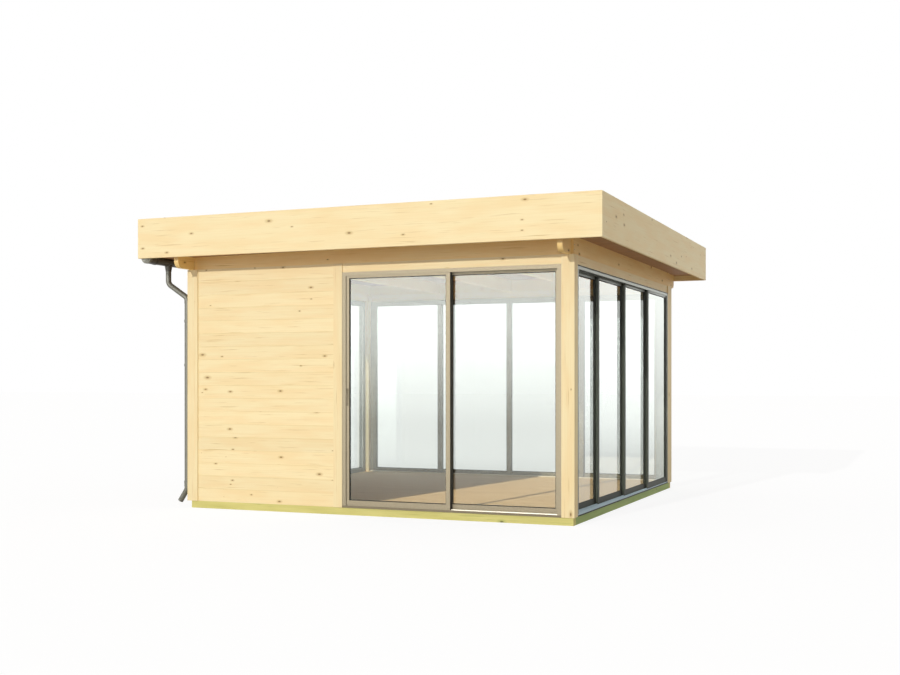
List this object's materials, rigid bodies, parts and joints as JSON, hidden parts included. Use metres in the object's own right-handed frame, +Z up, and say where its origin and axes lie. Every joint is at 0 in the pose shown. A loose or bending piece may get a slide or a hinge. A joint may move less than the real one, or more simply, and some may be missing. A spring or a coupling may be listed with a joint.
{
  "type": "log cabin",
  "caption": "Square flat-roofed timber garden cabin with a solid log corner, sliding glass walls on tracks, a deep fascia, and a side gutter with a downpipe.",
  "frame": {"origin": "on the ground, under the middle of the square roof", "axes": "+Z up, -Y out of the front with the log wall and the door, +X to the right seen from the front"},
  "size_m": [4.33, 4.33, 2.633],
  "materials": {
    "spruce": "planed, untreated",
    "treated_pine": "sawn, pressure-treated green",
    "floor_boards": "planed, oiled",
    "aluminium": "satin, dark anodised",
    "glass": "clear, polished",
    "membrane": "matt roofing sheet",
    "gutter_metal": "satin, coated",
    "pipe_metal": "satin, coated"
  },
  "bodies": {
    "cabin": {"corner_posts": "spruce", "cross_bearers": "treated_pine", "downpipe": "pipe_metal", "floor_deck": "floor_boards", "floor_joists": "treated_pine", "front_frame_jambs": "aluminium", "front_head_track": "aluminium", "front_log_wall": "spruce", "front_rear_fascia": "spruce", "front_sill_track": "aluminium", "gutter": "gutter_metal", "gutter_brackets": "gutter_metal", "headers": "spruce", "jamb_posts": "spruce", "left_log_wall": "spruce", "left_window_frame": "aluminium", "left_window_glass": "glass", "lintels": "spruce", "pipe_clips": "pipe_metal", "rear_frame_jambs": "aluminium", "rear_head_track": "aluminium", "rear_sill_track": "aluminium", "right_frame_jambs": "aluminium", "right_head_track": "aluminium", "right_sill_track": "aluminium", "roof_deck": "spruce", "roof_membrane": "membrane", "roof_purlins": "spruce", "side_bearers": "treated_pine", "side_boards": "spruce", "side_fascia": "spruce", "wall_plates": "spruce"},
    "front_leaf_1": {"front_leaf_1_frame": "aluminium", "front_leaf_1_glass": "glass"},
    "front_leaf_2": {"front_leaf_2_frame": "aluminium", "front_leaf_2_glass": "glass"},
    "right_leaf_1": {"right_leaf_1_frame": "aluminium", "right_leaf_1_glass": "glass"},
    "right_leaf_2": {"right_leaf_2_frame": "aluminium", "right_leaf_2_glass": "glass"},
    "right_leaf_3": {"right_leaf_3_frame": "aluminium", "right_leaf_3_glass": "glass"},
    "right_leaf_4": {"right_leaf_4_frame": "aluminium", "right_leaf_4_glass": "glass"},
    "rear_leaf_1": {"rear_leaf_1_frame": "aluminium", "rear_leaf_1_glass": "glass"},
    "rear_leaf_2": {"rear_leaf_2_frame": "aluminium", "rear_leaf_2_glass": "glass"},
    "rear_leaf_3": {"rear_leaf_3_frame": "aluminium", "rear_leaf_3_glass": "glass"},
    "rear_leaf_4": {"rear_leaf_4_frame": "aluminium", "rear_leaf_4_glass": "glass"}
  },
  "joints": [
    {"name": "front_leaf_1_slide", "type": "slide", "parent": "cabin", "child": "front_leaf_1", "axis": [1, 0, 0], "range_m": [0, 0.949]},
    {"name": "front_leaf_2_slide", "type": "slide", "parent": "cabin", "child": "front_leaf_2", "axis": [1, 0, 0], "range_m": [-0.949, 0]},
    {"name": "right_leaf_1_slide", "type": "slide", "parent": "cabin", "child": "right_leaf_1", "axis": [0, 1, 0], "range_m": [0, 2.493]},
    {"name": "right_leaf_2_slide", "type": "slide", "parent": "cabin", "child": "right_leaf_2", "axis": [0, 1, 0], "range_m": [-0.831, 1.662]},
    {"name": "right_leaf_3_slide", "type": "slide", "parent": "cabin", "child": "right_leaf_3", "axis": [0, 1, 0], "range_m": [-1.662, 0.831]},
    {"name": "right_leaf_4_slide", "type": "slide", "parent": "cabin", "child": "right_leaf_4", "axis": [0, 1, 0], "range_m": [-2.493, 0]},
    {"name": "rear_leaf_1_slide", "type": "slide", "parent": "cabin", "child": "rear_leaf_1", "axis": [-1, 0, 0], "range_m": [0, 2.5365]},
    {"name": "rear_leaf_2_slide", "type": "slide", "parent": "cabin", "child": "rear_leaf_2", "axis": [-1, 0, 0], "range_m": [-0.8455, 1.691]},
    {"name": "rear_leaf_3_slide", "type": "slide", "parent": "cabin", "child": "rear_leaf_3", "axis": [-1, 0, 0], "range_m": [-1.691, 0.8455]},
    {"name": "rear_leaf_4_slide", "type": "slide", "parent": "cabin", "child": "rear_leaf_4", "axis": [-1, 0, 0], "range_m": [-2.5365, 0]}
  ]
}
